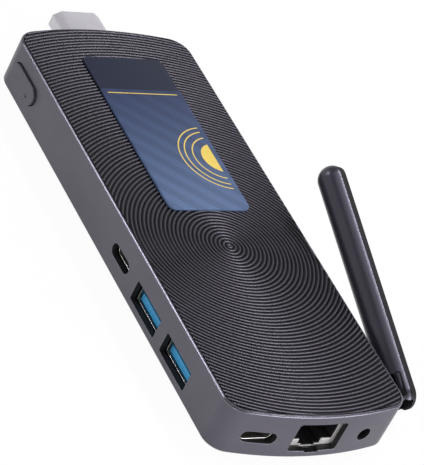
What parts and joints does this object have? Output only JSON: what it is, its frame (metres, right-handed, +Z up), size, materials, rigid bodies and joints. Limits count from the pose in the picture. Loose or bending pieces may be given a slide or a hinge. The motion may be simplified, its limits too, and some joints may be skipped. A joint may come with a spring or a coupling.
{
  "type": "hdmi stick computer",
  "caption": "Slim stick computer with a video plug on one end, side and end sockets, a ringed top cover, a press button and a swivelling, tilting antenna.",
  "frame": {"origin": "on the flat underside, at the middle of the case's plan outline", "axes": "+Y runs towards the video plug, +X towards the antenna side, +Z up through the ringed cover"},
  "size_m": [0.0589, 0.146, 0.0284],
  "materials": {
    "case_grey": "satin anodised grey metal",
    "cover_grey": "satin dark grey, finely ringed",
    "label_blue": "glossy dark blue print",
    "steel": "plain steel",
    "circuit_board": "green solder mask",
    "socket_steel": "pressed nickel plate",
    "plug_steel": "bright satin nickel plate",
    "blue_plastic": "smooth blue",
    "black_plastic": "satin black",
    "contact_gold": "gold plate",
    "clear_plastic": "clear lens",
    "chip_black": "moulded chip package",
    "pad_grey": "soft grey pad",
    "aluminium": "extruded aluminium",
    "cable_black": "thin black jacket",
    "antenna_black": "satin black"
  },
  "bodies": {
    "case": {"case_tub": "case_grey", "top_cover": "cover_grey", "label_plate": "label_blue", "case_screws": "steel", "board_screws": "steel", "spreader_screws": "steel", "main_board": "circuit_board", "usb_a_shell_front": "socket_steel", "usb_a_insert_front": "blue_plastic", "usb_a_contacts_front": "contact_gold", "usb_a_shell_rear": "socket_steel", "usb_a_insert_rear": "blue_plastic", "usb_a_contacts_rear": "contact_gold", "usb_c_shell_side": "socket_steel", "usb_c_insert_side": "black_plastic", "usb_c_contacts_side": "contact_gold", "usb_c_shell_front": "socket_steel", "usb_c_insert_front": "black_plastic", "usb_c_contacts_front": "contact_gold", "rj45_housing": "black_plastic", "rj45_shield": "socket_steel", "rj45_contacts": "contact_gold", "audio_jack": "black_plastic", "audio_terminals": "socket_steel", "hdmi_plug_shell": "plug_steel", "hdmi_plug_insert": "black_plastic", "hdmi_contacts": "contact_gold", "hdmi_carrier": "black_plastic", "power_switch": "black_plastic", "status_lamp": "clear_plastic", "processor": "chip_black", "thermal_pad": "pad_grey", "heat_spreader": "aluminium", "memory_chips": "chip_black", "storage_chip": "chip_black", "network_chip": "chip_black", "network_transformer": "chip_black", "power_inductors": "chip_black", "radio_module": "circuit_board", "radio_shield": "socket_steel", "cable_plug": "contact_gold", "antenna_cable": "cable_black", "cell_holder": "black_plastic", "clock_cell": "steel", "friction_washer": "black_plastic"},
    "power_button": {"power_button": "case_grey", "button_lens": "clear_plastic", "switch_plunger": "black_plastic"},
    "antenna_swivel": {"antenna_swivel": "antenna_black", "swivel_clip": "steel"},
    "antenna": {"antenna_front_shell": "antenna_black", "antenna_back_shell": "antenna_black", "antenna_element": "contact_gold", "tilt_pin": "steel"}
  },
  "joints": [
    {"name": "antenna_swivel", "type": "hinge", "parent": "case", "child": "antenna_swivel", "pos_m": [0.025, -0.0556, 0.00662], "axis": [1, 0, 0], "range_deg": [-18.2, 161.8]},
    {"name": "antenna_tilt", "type": "hinge", "parent": "antenna_swivel", "child": "antenna", "pos_m": [0.0301, -0.0556, 0.00662], "axis": [0, 0.3123, -0.95], "range_deg": [0, 90]},
    {"name": "power_button_press", "type": "slide", "parent": "case", "child": "power_button", "axis": [1, 0, 0], "range_m": [0, 0.00035], "stiffness_N_per_m": 2500, "springref_m": -0.0002}
  ]
}
